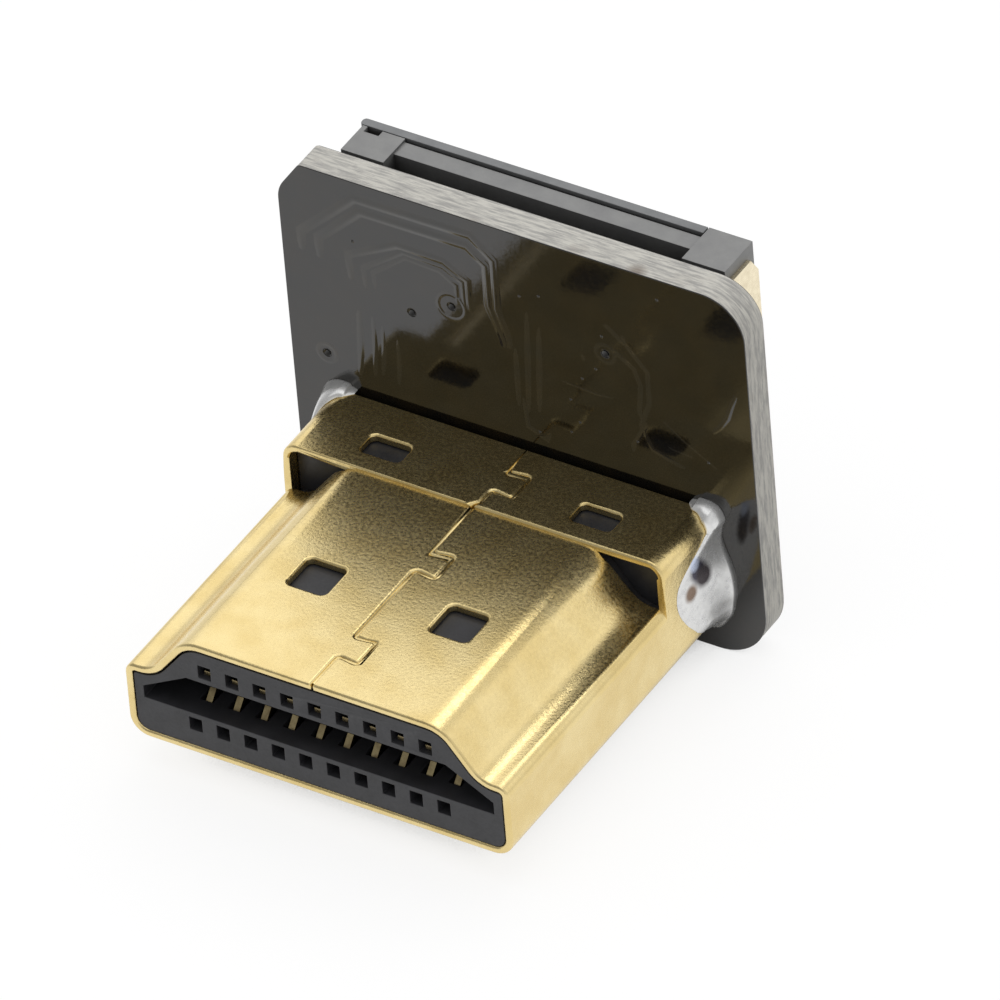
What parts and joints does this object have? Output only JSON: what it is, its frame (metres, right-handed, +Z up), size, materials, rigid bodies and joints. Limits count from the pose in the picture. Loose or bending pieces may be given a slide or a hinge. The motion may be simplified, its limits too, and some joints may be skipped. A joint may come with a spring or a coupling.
{
  "type": "right-angle digital video plug with flat-cable board",
  "caption": "Gold-plated digital video plug soldered square to a small black circuit board, with a locking flat-cable socket on the board's back.",
  "frame": {"origin": "centre of the plug's mating face, halfway between its underside and its narrow top", "axes": "+X across the plug, +Y from the plug's mouth towards the board, +Z up, towards the flat cable's way in"},
  "size_m": [0.0168, 0.0161, 0.0142],
  "materials": {
    "plated_shell": "satin gold plating",
    "plated_contact": "smooth gold plating",
    "plated_anchor": "pale bright plating",
    "tinned_contact": "tinned",
    "solder": "bright solder",
    "plug_plastic": "matte",
    "socket_plastic": "matte",
    "lid_plastic": "matte",
    "board_mask": "gloss black mask, pale glass-fibre edges"
  },
  "bodies": {
    "connector": {"plug_shell": "plated_shell", "front_insulator": "plug_plastic", "rear_insulator": "plug_plastic", "plug_contact_01": "plated_contact", "plug_contact_02": "plated_contact", "plug_contact_03": "plated_contact", "plug_contact_04": "plated_contact", "plug_contact_05": "plated_contact", "plug_contact_06": "plated_contact", "plug_contact_07": "plated_contact", "plug_contact_08": "plated_contact", "plug_contact_09": "plated_contact", "plug_contact_10": "plated_contact", "plug_contact_11": "plated_contact", "plug_contact_12": "plated_contact", "plug_contact_13": "plated_contact", "plug_contact_14": "plated_contact", "plug_contact_15": "plated_contact", "plug_contact_16": "plated_contact", "plug_contact_17": "plated_contact", "plug_contact_18": "plated_contact", "plug_contact_19": "plated_contact", "board": "board_mask", "solder_joint_left": "solder", "solder_joint_right": "solder", "tail_solder": "solder", "ffc_housing": "socket_plastic", "ffc_contact_01": "tinned_contact", "ffc_contact_02": "tinned_contact", "ffc_contact_03": "tinned_contact", "ffc_contact_04": "tinned_contact", "ffc_contact_05": "tinned_contact", "ffc_contact_06": "tinned_contact", "ffc_contact_07": "tinned_contact", "ffc_contact_08": "tinned_contact", "ffc_contact_09": "tinned_contact", "ffc_contact_10": "tinned_contact", "ffc_contact_11": "tinned_contact", "ffc_contact_12": "tinned_contact", "ffc_contact_13": "tinned_contact", "ffc_contact_14": "tinned_contact", "ffc_contact_15": "tinned_contact", "ffc_contact_16": "tinned_contact", "ffc_contact_17": "tinned_contact", "ffc_contact_18": "tinned_contact", "ffc_contact_19": "tinned_contact", "ffc_contact_20": "tinned_contact", "ffc_anchor_left": "plated_anchor", "ffc_anchor_right": "plated_anchor", "ffc_solder": "solder"},
    "lid": {"ffc_lid": "lid_plastic"}
  },
  "joints": [
    {"name": "lid_hinge", "type": "hinge", "parent": "connector", "child": "lid", "pos_m": [0, 0.01559, 0.00783], "axis": [-1, 0, 0], "range_deg": [0, 90]}
  ]
}
